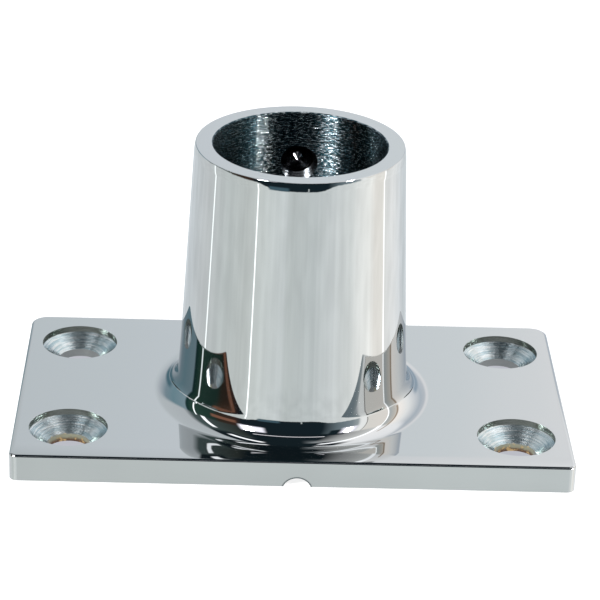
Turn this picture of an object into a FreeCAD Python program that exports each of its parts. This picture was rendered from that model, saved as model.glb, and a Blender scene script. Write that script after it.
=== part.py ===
import FreeCAD, Part
import math
import os
import Sketcher

# Rectangular base flange for an upright rail tube: a polished stainless casting with a tapered
# socket, and a socket set screw that clamps the tube.
# The origin is the centre of the plate's underside. +X runs along the plate's long side and +Z up
# the socket. The set screw sits in the socket's wall on the +Y side, the drain groove on the -Y side.

# Driving dimensions, in millimetres and degrees
SIZES = [
    ("plate_length", 82.0),
    ("plate_width", 47.0),
    ("plate_thickness", 4.0),
    ("front_corner_radius", 1.2),
    ("back_corner_radius", 2.6),
    ("plate_edge_radius", 0.35),
    ("overall_height", 44.0),
    ("bore_diameter", 25.6),
    ("rim_diameter", 30.9),
    ("foot_diameter", 34.7),
    ("foot_fillet_radius", 3.0),
    ("rim_edge_radius", 0.3),
    ("bore_edge_chamfer", 0.15),
    ("hole_spacing_length", 66.0),
    ("hole_spacing_width", 28.5),
    ("screw_hole_diameter", 6.4),
    ("countersink_diameter", 11.6),
    ("countersink_land", 0.95),
    ("countersink_angle", 110.0),
    ("drain_radius", 2.15),
    ("drain_height", 1.35),
    ("drain_offset", 0.6),
    ("set_screw_drop", 8.0),
    ("set_screw_diameter", 6.0),
    ("set_screw_length", 5.0),
    ("set_screw_clearance", 0.05),
    ("set_screw_recess", 0.5),
    ("set_screw_point_angle", 110.0),
    ("key_across_flats", 3.0),
    ("key_depth", 2.2),
]

doc = FreeCAD.newDocument("tube_clamp_base_flange")


def make_sheet():
    """Put the driving dimensions in a spreadsheet, one aliased cell each."""
    sheet = doc.addObject("Spreadsheet::Sheet", "sizes")
    for row, (alias, value) in enumerate(SIZES, start=1):
        sheet.set(f"A{row}", alias)
        sheet.set(f"B{row}", str(value))
        sheet.setAlias(f"B{row}", alias)
    doc.recompute()
    return sheet


sheet = make_sheet()


def bind(thing, **formulas):
    """Bind properties of a feature to formulas on the sheet's cells."""
    for name, formula in formulas.items():
        thing.setExpression(name, formula)


def new_body(label):
    body = doc.addObject("PartDesign::Body", label)
    body.Label = label
    return body


def new_sketch(body, name, plane_role):
    """A sketch that lies on one of the body's own origin planes."""
    sketch = body.newObject("Sketcher::SketchObject", name)
    planes = [item for item in body.Origin.OriginFeatures if item.Role == plane_role]
    sketch.AttachmentSupport = [(planes[0], "")]
    sketch.MapMode = "FlatFace"
    return sketch


def dimension(sketch, name, formula, *constraint):
    """Add a named dimension to a sketch and bind it to a formula."""
    index = sketch.addConstraint(Sketcher.Constraint(*constraint))
    sketch.renameConstraint(index, name)
    sketch.setExpression(f"Constraints.{name}", formula)


def point(x, y):
    return FreeCAD.Vector(x, y, 0)


def closed_outline(sketch, corners):
    """Draw a closed chain of straight lines; line i runs from corner i to corner i + 1."""
    count = len(corners)
    for i in range(count):
        sketch.addGeometry(Part.LineSegment(point(*corners[i]), point(*corners[(i + 1) % count])))
    for i in range(count):
        sketch.addConstraint(Sketcher.Constraint("Coincident", i, 2, (i + 1) % count, 1))


def circle(sketch, x, y, radius):
    """Draw a circle and return its geometry number."""
    return sketch.addGeometry(Part.Circle(point(x, y), FreeCAD.Vector(0, 0, 1), radius))


def rounded_edges(body, name, base, edges, radius):
    """Round the named edges of the last feature."""
    fillet = body.newObject("PartDesign::Fillet", name)
    fillet.Base = (base, edges)
    bind(fillet, Radius=radius)
    doc.recompute()
    return fillet


def circle_edges(feature, radius, height):
    """Names of the full circles about the Z axis with this radius and height."""
    found = []
    for number, edge in enumerate(feature.Shape.Edges, start=1):
        curve = edge.Curve
        if not isinstance(curve, Part.Circle) or not edge.isClosed():
            continue
        off_axis = math.hypot(curve.Center.x, curve.Center.y)
        if off_axis < 1e-6 and abs(curve.Radius - radius) < 1e-6 and abs(curve.Center.z - height) < 1e-6:
            found.append(f"Edge{number}")
    return found


def plate_top_edges(feature):
    """Names of the edges that run round the outline of the plate's top face."""
    half_length = sheet.plate_length / 2
    half_width = sheet.plate_width / 2
    corner = max(sheet.front_corner_radius, sheet.back_corner_radius)
    found = []
    for number, edge in enumerate(feature.Shape.Edges, start=1):
        middle = edge.valueAt((edge.FirstParameter + edge.LastParameter) / 2)
        on_top = all(abs(v.Z - sheet.plate_thickness) < 1e-6 for v in edge.Vertexes)
        at_rim = abs(middle.x) > half_length - corner or abs(middle.y) > half_width - corner
        if on_top and at_rim and abs(middle.z - sheet.plate_thickness) < 1e-6:
            found.append(f"Edge{number}")
    return found


def check_cut(before, after, name):
    """A cut that points away from the metal removes nothing, so its volume is compared."""
    if after.Shape.Volume > before.Shape.Volume - 1e-3:
        raise ValueError(f"{name} removes no metal")


# Flange: the plate
def draw_plate_outline(sketch):
    """A rectangle about the origin with rounded corners, tighter at the front than at the back."""
    x = sheet.plate_length / 2
    y = sheet.plate_width / 2
    front = sheet.front_corner_radius
    back = sheet.back_corner_radius
    # side, its start and its end, anticlockwise from the front
    sides = [
        ((front - x, -y), (x - front, -y)),
        ((x, front - y), (x, y - back)),
        ((x - back, y), (back - x, y)),
        ((-x, y - back), (-x, front - y)),
    ]
    # corner centre, radius and start angle, each following the side of the same number
    corners = [
        ((x - front, front - y), front, 270),
        ((x - back, y - back), back, 0),
        ((back - x, y - back), back, 90),
        ((front - x, front - y), front, 180),
    ]
    for start, end in sides:
        sketch.addGeometry(Part.LineSegment(point(*start), point(*end)))
    for centre, radius, angle in corners:
        arc = Part.Circle(point(*centre), FreeCAD.Vector(0, 0, 1), radius)
        start = math.radians(angle)
        sketch.addGeometry(Part.ArcOfCircle(arc, start, start + math.pi / 2))
    for i in range(4):
        sketch.addConstraint(Sketcher.Constraint("Tangent", i, 2, 4 + i, 1))
        sketch.addConstraint(Sketcher.Constraint("Tangent", 4 + i, 2, (i + 1) % 4, 1))
    for i, direction in enumerate(["Horizontal", "Vertical", "Horizontal", "Vertical"]):
        sketch.addConstraint(Sketcher.Constraint(direction, i))
    dimension(sketch, "front_y", "sizes.plate_width / 2", "DistanceY", 0, 1, -1, 1, y)
    dimension(sketch, "right_x", "sizes.plate_length / 2", "DistanceX", -1, 1, 1, 1, x)
    dimension(sketch, "back_y", "sizes.plate_width / 2", "DistanceY", -1, 1, 2, 1, y)
    dimension(sketch, "left_x", "sizes.plate_length / 2", "DistanceX", 3, 1, -1, 1, x)
    dimension(sketch, "front_right_r", "sizes.front_corner_radius", "Radius", 4, front)
    dimension(sketch, "back_right_r", "sizes.back_corner_radius", "Radius", 5, back)
    dimension(sketch, "back_left_r", "sizes.back_corner_radius", "Radius", 6, back)
    dimension(sketch, "front_left_r", "sizes.front_corner_radius", "Radius", 7, front)


def add_plate(body):
    sketch = new_sketch(body, "plate_outline", "XY_Plane")
    draw_plate_outline(sketch)
    pad = body.newObject("PartDesign::Pad", "plate")
    pad.Profile = sketch
    bind(pad, Length="sizes.plate_thickness")
    doc.recompute()
    return pad


# Flange: the tapered socket and its foot
def draw_socket_profile(sketch):
    """Half section of the solid socket: straight inside the plate, then tapered up to the rim."""
    foot = sheet.foot_diameter / 2
    rim = sheet.rim_diameter / 2
    top = sheet.overall_height
    plate = sheet.plate_thickness
    closed_outline(sketch, [(0, 0), (foot, 0), (foot, plate), (rim, top), (0, top)])
    sketch.addConstraint(Sketcher.Constraint("Coincident", 0, 1, -1, 1))
    sketch.addConstraint(Sketcher.Constraint("Horizontal", 0))
    sketch.addConstraint(Sketcher.Constraint("Vertical", 1))
    sketch.addConstraint(Sketcher.Constraint("Horizontal", 3))
    sketch.addConstraint(Sketcher.Constraint("Vertical", 4))
    dimension(sketch, "foot_radius", "sizes.foot_diameter / 2", "DistanceX", 0, 1, 0, 2, foot)
    dimension(sketch, "taper_start", "sizes.plate_thickness", "DistanceY", 1, 1, 1, 2, plate)
    dimension(sketch, "rim_radius", "sizes.rim_diameter / 2", "DistanceX", 3, 2, 3, 1, rim)
    dimension(sketch, "rim_height", "sizes.overall_height", "DistanceY", -1, 1, 3, 2, top)


def add_socket(body):
    sketch = new_sketch(body, "socket_profile", "XZ_Plane")
    draw_socket_profile(sketch)
    socket = body.newObject("PartDesign::Revolution", "socket")
    socket.Profile = sketch
    socket.ReferenceAxis = (sketch, ["V_Axis"])
    doc.recompute()
    edges = circle_edges(socket, sheet.foot_diameter / 2, sheet.plate_thickness)
    return rounded_edges(body, "foot_fillet", socket, edges, "sizes.foot_fillet_radius")


# Flange: the bore
def add_bore(body, base):
    sketch = new_sketch(body, "bore_circle", "XY_Plane")
    radius = sheet.bore_diameter / 2
    ring = circle(sketch, 0, 0, radius)
    sketch.addConstraint(Sketcher.Constraint("Coincident", ring, 3, -1, 1))
    dimension(sketch, "bore", "sizes.bore_diameter", "Diameter", ring, 2 * radius)
    bore = body.newObject("PartDesign::Pocket", "bore")
    bore.Profile = sketch
    bore.Type = "ThroughAll"
    bore.Reversed = True
    doc.recompute()
    check_cut(base, bore, "bore")
    return bore


def add_rim_edges(body, base):
    """Buffed outer edge and broken inner edge of the socket's mouth."""
    outer = circle_edges(base, sheet.rim_diameter / 2, sheet.overall_height)
    rim = rounded_edges(body, "rim_edge", base, outer, "sizes.rim_edge_radius")
    mouth = body.newObject("PartDesign::Chamfer", "bore_edge")
    mouth.Base = (rim, circle_edges(rim, sheet.bore_diameter / 2, sheet.overall_height))
    bind(mouth, Size="sizes.bore_edge_chamfer")
    doc.recompute()
    return mouth


# Flange: screw holes, drain groove and tapped hole
def add_screw_holes(body, base):
    """Four countersunk holes; a short straight land lies above each cone."""
    sketch = new_sketch(body, "screw_hole_centres", "XY_Plane")
    bind(sketch, **{"AttachmentOffset.Base.z": "sizes.plate_thickness"})
    x = sheet.hole_spacing_length / 2
    y = sheet.hole_spacing_width / 2
    for i, (side, end) in enumerate([(-1, -1), (1, -1), (1, 1), (-1, 1)]):
        ring = circle(sketch, side * x, end * y, sheet.screw_hole_diameter / 2)
        from_left = (ring, 3, -1, 1) if side < 0 else (-1, 1, ring, 3)
        from_front = (ring, 3, -1, 1) if end < 0 else (-1, 1, ring, 3)
        dimension(sketch, f"x{i}", "sizes.hole_spacing_length / 2", "DistanceX", *from_left, x)
        dimension(sketch, f"y{i}", "sizes.hole_spacing_width / 2", "DistanceY", *from_front, y)
        dimension(sketch, f"d{i}", "sizes.screw_hole_diameter", "Diameter", ring,
                  sheet.screw_hole_diameter)
    doc.recompute()
    holes = body.newObject("PartDesign::Hole", "screw_holes")
    holes.Profile = sketch
    holes.ThreadType = "None"
    holes.DepthType = "ThroughAll"
    holes.HoleCutType = "Counterdrill"
    bind(
        holes,
        Diameter="sizes.screw_hole_diameter",
        HoleCutDiameter="sizes.countersink_diameter",
        HoleCutDepth="sizes.countersink_land",
        HoleCutCountersinkAngle="sizes.countersink_angle",
    )
    doc.recompute()
    check_cut(base, holes, "screw_holes")
    return holes


def add_drain_groove(body, base):
    """A shallow round groove under the plate, from the bore out through the front edge.

    It lies a little to the right of the middle.
    """
    sketch = new_sketch(body, "drain_circle", "XZ_Plane")
    radius = sheet.drain_radius
    below = radius - sheet.drain_height
    offset = sheet.drain_offset
    ring = circle(sketch, offset, -below, radius)
    dimension(sketch, "offset", "sizes.drain_offset", "DistanceX", -1, 1, ring, 3, offset)
    dimension(sketch, "radius", "sizes.drain_radius", "Radius", ring, radius)
    dimension(sketch, "below", "sizes.drain_radius - sizes.drain_height",
              "DistanceY", ring, 3, -1, 1, below)
    groove = body.newObject("PartDesign::Pocket", "drain_groove")
    groove.Profile = sketch
    groove.Type = "ThroughAll"
    groove.Reversed = True
    doc.recompute()
    check_cut(base, groove, "drain_groove")
    return groove


def add_tapped_hole(body, base):
    """Hole for the set screw, at the thread's outer diameter plus a running clearance."""
    sketch = new_sketch(body, "tapped_circle", "XZ_Plane")
    height = sheet.overall_height - sheet.set_screw_drop
    radius = sheet.set_screw_diameter / 2 + sheet.set_screw_clearance
    ring = circle(sketch, 0, height, radius)
    sketch.addConstraint(Sketcher.Constraint("PointOnObject", ring, 3, -2))
    dimension(sketch, "height", "sizes.overall_height - sizes.set_screw_drop",
              "DistanceY", -1, 1, ring, 3, height)
    dimension(sketch, "radius", "sizes.set_screw_diameter / 2 + sizes.set_screw_clearance",
              "Radius", ring, radius)
    hole = body.newObject("PartDesign::Pocket", "tapped_hole")
    hole.Profile = sketch
    hole.Type = "ThroughAll"
    doc.recompute()
    check_cut(base, hole, "tapped_hole")
    return hole


def make_flange():
    body = new_body("flange")
    add_plate(body)
    socket = add_socket(body)
    outline = rounded_edges(body, "plate_edge", socket, plate_top_edges(socket),
                            "sizes.plate_edge_radius")
    bore = add_bore(body, outline)
    mouth = add_rim_edges(body, bore)
    holes = add_screw_holes(body, mouth)
    groove = add_drain_groove(body, holes)
    add_tapped_hole(body, groove)
    return body


# Set screw: cone point at its foot, hexagon key socket at its head
def draw_screw_profile(sketch):
    """Half section of the turned screw, with its axis upright and its point down at the origin."""
    radius = sheet.set_screw_diameter / 2
    length = sheet.set_screw_length
    point_height = radius / math.tan(math.radians(sheet.set_screw_point_angle / 2))
    closed_outline(sketch, [(0, 0), (radius, point_height), (radius, length), (0, length)])
    sketch.addConstraint(Sketcher.Constraint("Coincident", 0, 1, -1, 1))
    sketch.addConstraint(Sketcher.Constraint("Vertical", 1))
    sketch.addConstraint(Sketcher.Constraint("Horizontal", 2))
    sketch.addConstraint(Sketcher.Constraint("Vertical", 3))
    dimension(sketch, "outer_radius", "sizes.set_screw_diameter / 2", "DistanceX", -1, 1, 0, 2, radius)
    dimension(sketch, "point_height",
              "sizes.set_screw_diameter / 2 / tan(sizes.set_screw_point_angle / 2 * 1deg)",
              "DistanceY", -1, 1, 0, 2, point_height)
    dimension(sketch, "length", "sizes.set_screw_length", "DistanceY", -1, 1, 2, 2, length)


def add_key_socket(body, base):
    """Hexagon recess for the key, cut down from the screw's head."""
    sketch = new_sketch(body, "key_hexagon", "XY_Plane")
    bind(sketch, **{"AttachmentOffset.Base.z": "sizes.set_screw_length"})
    corner_radius = sheet.key_across_flats / math.sqrt(3)
    corners = []
    for i in range(6):
        angle = math.radians(60 * i)
        corners.append((corner_radius * math.cos(angle), corner_radius * math.sin(angle)))
    closed_outline(sketch, corners)
    ring = circle(sketch, 0, 0, corner_radius)
    sketch.toggleConstruction(ring)
    sketch.addConstraint(Sketcher.Constraint("Coincident", ring, 3, -1, 1))
    for i in range(6):
        sketch.addConstraint(Sketcher.Constraint("PointOnObject", i, 1, ring))
    for i in range(5):
        sketch.addConstraint(Sketcher.Constraint("Equal", i, i + 1))
    sketch.addConstraint(Sketcher.Constraint("PointOnObject", 0, 1, -1))
    dimension(sketch, "corner_radius", "sizes.key_across_flats / sqrt(3)",
              "Radius", ring, corner_radius)
    recess = body.newObject("PartDesign::Pocket", "key_socket")
    recess.Profile = sketch
    bind(recess, Length="sizes.key_depth")
    doc.recompute()
    check_cut(base, recess, "key_socket")


def make_set_screw():
    """The screw lies along +Y with the tip of its point just behind the bore's wall."""
    body = new_body("set_screw")
    sketch = new_sketch(body, "screw_profile", "XZ_Plane")
    draw_screw_profile(sketch)
    shank = body.newObject("PartDesign::Revolution", "shank")
    shank.Profile = sketch
    shank.ReferenceAxis = (sketch, ["V_Axis"])
    doc.recompute()
    add_key_socket(body, shank)
    body.Placement.Rotation = FreeCAD.Rotation(FreeCAD.Vector(1, 0, 0), -90)
    bind(body, **{
        "Placement.Base.y": "sizes.bore_diameter / 2 + sizes.set_screw_recess",
        "Placement.Base.z": "sizes.overall_height - sizes.set_screw_drop",
    })
    return body


def write_parts(bodies):
    """Check every object and each sub-part's shape, then write one file for each sub-part."""
    for item in doc.Objects:
        if "Invalid" in item.State or "Error" in item.State:
            raise ValueError(f"{item.Label} failed: {item.State}")
    for body in bodies:
        if body.Shape.isNull() or not body.Shape.isValid() or len(body.Shape.Solids) != 1:
            raise ValueError(f"{body.Label} isn't one valid solid")
    os.makedirs("parts", exist_ok=True)
    for body in bodies:
        body.Shape.exportStep(f"parts/{body.Label}.step")
        print(body.Label, round(body.Shape.Volume, 2), "mm3")


sub_parts = [make_flange(), make_set_screw()]
doc.recompute()
write_parts(sub_parts)
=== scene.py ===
import math

import bpy
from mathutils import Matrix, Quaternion, Vector
from mathutils.geometry import delaunay_2d_cdt


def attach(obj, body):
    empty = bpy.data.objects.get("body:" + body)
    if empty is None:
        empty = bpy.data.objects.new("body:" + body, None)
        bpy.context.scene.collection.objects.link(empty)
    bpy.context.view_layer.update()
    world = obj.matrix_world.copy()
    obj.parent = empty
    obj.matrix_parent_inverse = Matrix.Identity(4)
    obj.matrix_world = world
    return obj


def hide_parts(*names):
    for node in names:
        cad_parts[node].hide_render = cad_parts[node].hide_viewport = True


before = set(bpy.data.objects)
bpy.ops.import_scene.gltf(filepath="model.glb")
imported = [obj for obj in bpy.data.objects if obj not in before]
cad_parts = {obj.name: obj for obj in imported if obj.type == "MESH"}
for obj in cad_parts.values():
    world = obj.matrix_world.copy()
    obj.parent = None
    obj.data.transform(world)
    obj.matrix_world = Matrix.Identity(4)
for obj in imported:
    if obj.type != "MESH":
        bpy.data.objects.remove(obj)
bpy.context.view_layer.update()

MM = 0.001

# Sizes of the flange in millimetres, as in the part's source
# BORE, RIM, FOOT, HOLE, SINK and TAPPED are radii
HALF_LENGTH = 41.0
HALF_WIDTH = 23.5
PLATE = 4.0
FRONT_CORNER = 1.2
BACK_CORNER = 2.6
HEIGHT = 44.0
BORE = 12.8
BORE_EDGE = 0.15
RIM = 15.45
FOOT = 17.35
TAPER = (FOOT - RIM) / (HEIGHT - PLATE)
HOLE_X = 33.0
HOLE_Y = 14.25
HOLES = [(-HOLE_X, -HOLE_Y), (HOLE_X, -HOLE_Y), (HOLE_X, HOLE_Y), (-HOLE_X, HOLE_Y)]
HOLE = 3.2
SINK = 5.8
SINK_LAND = 0.95
SINK_ANGLE = 110
SINK_BOTTOM = PLATE - SINK_LAND - (SINK - HOLE) / math.tan(math.radians(SINK_ANGLE / 2))
DRAIN_X = 0.6
DRAIN_RADIUS = 2.15
DRAIN_HEIGHT = 1.35
DRAIN_CENTRE = DRAIN_HEIGHT - DRAIN_RADIUS
SCREW_HEIGHT = 36.0
TAPPED = 3.05

# Buffed edges: the mouth's roll-off, the foot's sweep into the plate and the plate's top edge
MOUTH_ROLL_TALL = 1.35
MOUTH_ROLL_WIDE = 0.13
MOUTH_EDGE = 0.13
SWEEP_TALL = 3.5
SWEEP_WIDE = 3.28
SWEEP_POWER = 2.15
# Above the sweep the wall already leans out a little more than its taper
FLARE_SLOPE = 0.045
FLARE_REACH = 3.6
EDGE_ROLL_TALL = 0.25
EDGE_ROLL_WIDE = 0.45
# The buffing wheel has also turned the plate's surface down towards its front edge
BUFFED_WIDTH = 3.5
BUFFED_SLOPE = 0.40
# Towards the other three edges it has hardly turned it
BUFFED_SHARE = 0.02

# Set screw, in millimetres along its axis from the tip of its point outwards
SCREW_START = 13.3
SCREW_LENGTH = 5.0
SCREW_END = SCREW_START + SCREW_LENGTH
SCREW_CHAMFER = 0.25
SCREW_RADIUS = 3.0
PITCH = 1.0
THREAD_DEPTH = 0.5
THREAD_FADE = 0.6
POINT_ANGLE = 110
POINT_SLOPE = math.tan(math.radians(POINT_ANGLE / 2))
KEY_FLATS = 3.0
KEY_CORNER = KEY_FLATS / math.sqrt(3)
KEY_DEPTH = 2.2
KEY_DIMPLE = 0.4

TURN = 2 * math.pi
# Steps round the socket, a screw hole, the tapped hole and the set screw
SEGMENTS = 256
HOLE_SEGMENTS = 96
TAPPED_SEGMENTS = 64
SCREW_SEGMENTS = 72
# Wall and bore leave windows open round the tapped hole and the drain
BACK_COLUMN = SEGMENTS // 4
FRONT_COLUMN = 3 * SEGMENTS // 4
HALF_WINDOW = 16
WINDOW_LOW = 31.0
WINDOW_HIGH = 41.0
DRAIN_WINDOW_TOP = 3.0
# Free points of a face keep this far from its holes
POINT_GAP = 0.3
# The flange's materials, in the order of their slots
POLISHED, BORED, SUNK, THREADED, UNDERSIDE = range(5)

# Camera: where it looks and from where, as fitted to the photograph, with angles in degrees
CAMERA_TARGET = Vector((0.77, 0.0, 18.84)) * MM
CAMERA_ELEVATION = 24.97
CAMERA_AZIMUTH = -1.80
CAMERA_ROLL = 2.16
CAMERA_DISTANCE = 393.9 * MM
CAMERA_LENS = 157.8

# Studio. Azimuth 0 is the camera's side and grows towards +X; elevation 0 is level.
# Light from below the horizon, by azimuth
LOW_RING = [
    (-180, (0.72, 0.77, 0.80)),
    (-164, (0.72, 0.77, 0.81)),
    (-150, (0.76, 0.81, 0.84)),
    (-112, (0.82, 0.85, 0.86)),
    (-80, (0.79, 0.84, 0.83)),
    (-53, (0.80, 0.84, 0.82)),
    (-40, (0.93, 0.98, 0.96)),
    (-14, (0.90, 0.95, 0.95)),
    (-8, (0.78, 0.83, 0.82)),
    (16, (0.80, 0.85, 0.85)),
    (36, (0.93, 0.97, 0.97)),
    (57, (1.04, 1.07, 1.05)),
    (64, (1.18, 1.19, 1.16)),
    (80, (1.35, 1.34, 1.29)),
    (88, (1.22, 1.17, 1.10)),
    (101, (1.25, 1.20, 1.12)),
    (104, (1.12, 1.12, 1.10)),
    (118, (1.20, 1.20, 1.19)),
    (134, (1.00, 1.03, 1.05)),
    (148, (0.76, 0.81, 0.84)),
    (164, (0.72, 0.77, 0.80)),
]
# Light from just above the horizon, by azimuth
MIDDLE_RING = [
    (-180, (0.86, 0.91, 0.96)),
    (-177, (0.80, 0.86, 0.90)),
    (-173, (0.76, 0.82, 0.86)),
    (-166, (0.62, 0.67, 0.72)),
    (-152, (0.28, 0.38, 0.44)),
    (-138, (0.22, 0.36, 0.42)),
    (-118, (0.30, 0.42, 0.48)),
    (-116, (0.01, 0.045, 0.045)),
    (-108, (0.035, 0.085, 0.065)),
    (-80, (0.024, 0.055, 0.045)),
    (-74, (0.045, 0.034, 0.024)),
    (-55, (0.060, 0.032, 0.024)),
    (-48, (0.012, 0.022, 0.028)),
    (29, (0.012, 0.024, 0.032)),
    (44, (0.20, 0.26, 0.29)),
    (58, (0.32, 0.39, 0.43)),
    (65, (0.52, 0.58, 0.60)),
    (68, (1.35, 1.35, 1.33)),
    (74, (1.35, 1.35, 1.33)),
    (77, (1.15, 1.10, 1.03)),
    (100, (1.20, 1.12, 1.04)),
    (104, (0.66, 0.70, 0.70)),
    (112, (0.86, 0.80, 0.72)),
    (118, (1.50, 1.40, 1.32)),
    (132, (1.26, 1.26, 1.25)),
    (142, (1.00, 1.02, 1.05)),
    (156, (0.65, 0.72, 0.80)),
    (165, (0.76, 0.80, 0.86)),
    (169, (1.08, 1.08, 1.10)),
    (172, (1.06, 1.07, 1.09)),
    (174.5, (0.93, 0.98, 1.01)),
    (180, (0.86, 0.91, 0.96)),
]
# Light from high up, by azimuth
HIGH_RING = [
    (-180, (0.86, 0.91, 0.96)),
    (-170, (0.72, 0.77, 0.80)),
    (-124, (0.68, 0.72, 0.75)),
    (-112, (0.10, 0.14, 0.14)),
    (-60, (0.05, 0.06, 0.055)),
    (-48, (0.012, 0.022, 0.028)),
    (38, (0.012, 0.022, 0.028)),
    (60, (0.50, 0.50, 0.50)),
    (96, (0.95, 0.95, 0.93)),
    (108, (1.40, 1.38, 1.38)),
    (150, (1.30, 1.30, 1.32)),
    (172, (1.06, 1.07, 1.09)),
    (180, (0.86, 0.91, 0.96)),
]
# What else the metal mirrors, as fields of light or shade
# Azimuth from, to; elevation from, to; softness of the edges in degrees; colour
CARDS = {
    "thing_on_table": (-33, -12, -14, -6, 2.0, (0.08, 0.15, 0.19)),
    "spoon_on_table": (8, 9.4, -13, -6, 0.4, (0.6, 0.65, 0.65)),
    "brown_shelf": (-82, -54, 9, 18, 2.0, (0.30, 0.14, 0.09)),
    "dark_thing_behind": (-166, -146, -1, 9, 4.0, (0.10, 0.20, 0.25)),
    "blue_thing_behind": (148, 172, -1, 9, 4.0, (0.40, 0.50, 0.60)),
    "dark_room_right": (38, 58, 26, 46, 2.0, (0.012, 0.024, 0.032)),
    "glow_left": (-52, -27, 19, 39, 3.0, (1.7, 1.65, 1.8)),
    "glow_right": (50, 66, 21, 40, 3.0, (1.5, 1.45, 1.6)),
    "slot_left_low": (-102.6, -101.0, -90, 0, 0.5, (2.0, 2.1, 2.1)),
    "slot_left_high": (-105.6, -103.8, 0, 30, 0.5, (2.2, 2.3, 2.3)),
    "slot_front_left": (-45.4, -44.2, -90, -6, 0.4, (2.4, 2.5, 2.5)),
    "slot_right": (101.0, 102.6, -90, 40, 0.4, (2.2, 2.2, 2.2)),
    "dark_frame_right": (74.6, 75.8, 0, 40, 0.4, (0.40, 0.38, 0.36)),
    "brown_frame_right": (113.6, 116.4, 1, 50, 0.8, (0.56, 0.44, 0.34)),
    "ceiling_line": (-44, 38, 48.8, 51.2, 0.5, (1.3, 1.25, 1.3)),
}
# Dark ceiling: side angle from, to; angle up from the front horizon, from, to
OVERHEAD = [(-21, 9, 60, 97), (-34, 19, 84, 107)]
# Bright seams of the ceiling, upright through the zenith: azimuth, half width, elevation from, to
SEAMS = [(-95.5, 0.045, 28, 50), (-95.5, 0.050, 62, 79), (100.8, 0.042, 38, 78)]
SEAM = (2.0, 2.0, 2.05)
CEILING = (0.42, 0.46, 0.48)
DARK_CEILING = (0.012, 0.022, 0.028)
# Lamps: azimuth, elevation, width and height in degrees as seen from the part
LAMPS = [(-43, 29, 9, 15), (57.5, 29.5, 6.5, 14)]
LAMP_DISTANCE = 1.2
LAMP_GLOW = 80.0
# Height in metres of the point that the lamps look at
LAMP_AIM = 0.03

# Stage, in metres
FLOOR_HALF = 3.0
FLOOR_LEVEL = -0.0001
SHADE_LEVEL = -0.00005
SHADED_REACH = 0.0145


class Graph:
    """Short names for adding and linking shader nodes."""

    def __init__(self, tree):
        self.tree = tree
        tree.nodes.clear()

    def node(self, kind, **settings):
        made = self.tree.nodes.new(kind)
        for name, value in settings.items():
            setattr(made, name, value)
        return made

    def plug(self, value, socket):
        """Set a socket to a number or colour, or link it to another node's output."""
        if isinstance(value, bpy.types.NodeSocket):
            self.tree.links.new(value, socket)
        else:
            socket.default_value = value

    def math(self, operation, *values):
        made = self.node("ShaderNodeMath", operation=operation)
        for value, socket in zip(values, made.inputs):
            self.plug(value, socket)
        return made.outputs[0]

    def plus(self, first, second):
        return self.math("ADD", first, second)

    def minus(self, first, second):
        return self.math("SUBTRACT", first, second)

    def times(self, first, second):
        return self.math("MULTIPLY", first, second)

    def smooth(self, value, low, high, start=0.0, end=1.0):
        """Smooth step of a value from start at low to end at high."""
        made = self.node("ShaderNodeMapRange", interpolation_type="SMOOTHSTEP")
        for given, socket in zip((value, low, high, start, end), made.inputs):
            self.plug(given, socket)
        return made.outputs[0]

    def between(self, value, low, high, soft):
        """1 between low and high, 0 outside, with soft edges."""
        rise = self.smooth(value, low - soft, low + soft)
        return self.times(rise, self.smooth(value, high - soft, high + soft, 1.0, 0.0))

    def mix(self, factor, first, second, blend="MIX"):
        made = self.node("ShaderNodeMix", data_type="RGBA", blend_type=blend)
        self.plug(factor, made.inputs["Factor"])
        self.plug(first, made.inputs[6])
        self.plug(second, made.inputs[7])
        return made.outputs[2]

    def ramp(self, value, stops):
        made = self.node("ShaderNodeValToRGB")
        elements = made.color_ramp.elements
        while len(elements) < len(stops):
            elements.new(0.5)
        for element, (place, rgb) in zip(elements, stops):
            element.position = place
            element.color = colour(rgb)
        self.plug(value, made.inputs[0])
        return made.outputs[0]

    def noise(self, vector, scale, detail=2.0, roughness=0.5):
        made = self.node("ShaderNodeTexNoise")
        self.plug(vector, made.inputs["Vector"])
        made.inputs["Scale"].default_value = scale
        made.inputs["Detail"].default_value = detail
        made.inputs["Roughness"].default_value = roughness
        return made.outputs["Fac"]

    def join(self, *values):
        made = self.node("ShaderNodeCombineXYZ")
        for value, socket in zip(values, made.inputs):
            self.plug(value, socket)
        return made.outputs[0]

    def split(self, vector):
        made = self.node("ShaderNodeSeparateXYZ")
        self.plug(vector, made.inputs[0])
        return made.outputs

    def bump(self, height, strength, distance):
        made = self.node("ShaderNodeBump")
        made.inputs["Strength"].default_value = strength
        made.inputs["Distance"].default_value = distance
        self.plug(height, made.inputs["Height"])
        return made.outputs[0]


def colour(rgb):
    return (rgb[0], rgb[1], rgb[2], 1.0)


def direction(azimuth, elevation):
    """Where a place round the part lies, as a unit vector, from its angles in degrees."""
    a = math.radians(azimuth)
    e = math.radians(elevation)
    return Vector((math.sin(a) * math.cos(e), -math.cos(a) * math.cos(e), math.sin(e)))


def link(name, data):
    """A new object of the scene."""
    made = bpy.data.objects.new(name, data)
    bpy.context.scene.collection.objects.link(made)
    return made


def set_up_camera():
    back = direction(CAMERA_AZIMUTH, CAMERA_ELEVATION)
    camera = link("camera", bpy.data.cameras.new("camera"))
    camera.data.lens = CAMERA_LENS
    camera.data.sensor_width = 36.0
    camera.data.clip_start = 0.01
    camera.data.clip_end = 20.0
    camera.location = CAMERA_TARGET + back * CAMERA_DISTANCE
    camera.rotation_mode = "QUATERNION"
    level_view = back.to_track_quat("Z", "Y")
    camera.rotation_quaternion = level_view @ Quaternion((0, 0, 1), math.radians(CAMERA_ROLL))
    bpy.context.scene.camera = camera


def ring_stops(ring):
    return [((azimuth + 180) / 360, rgb) for azimuth, rgb in ring]


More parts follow.
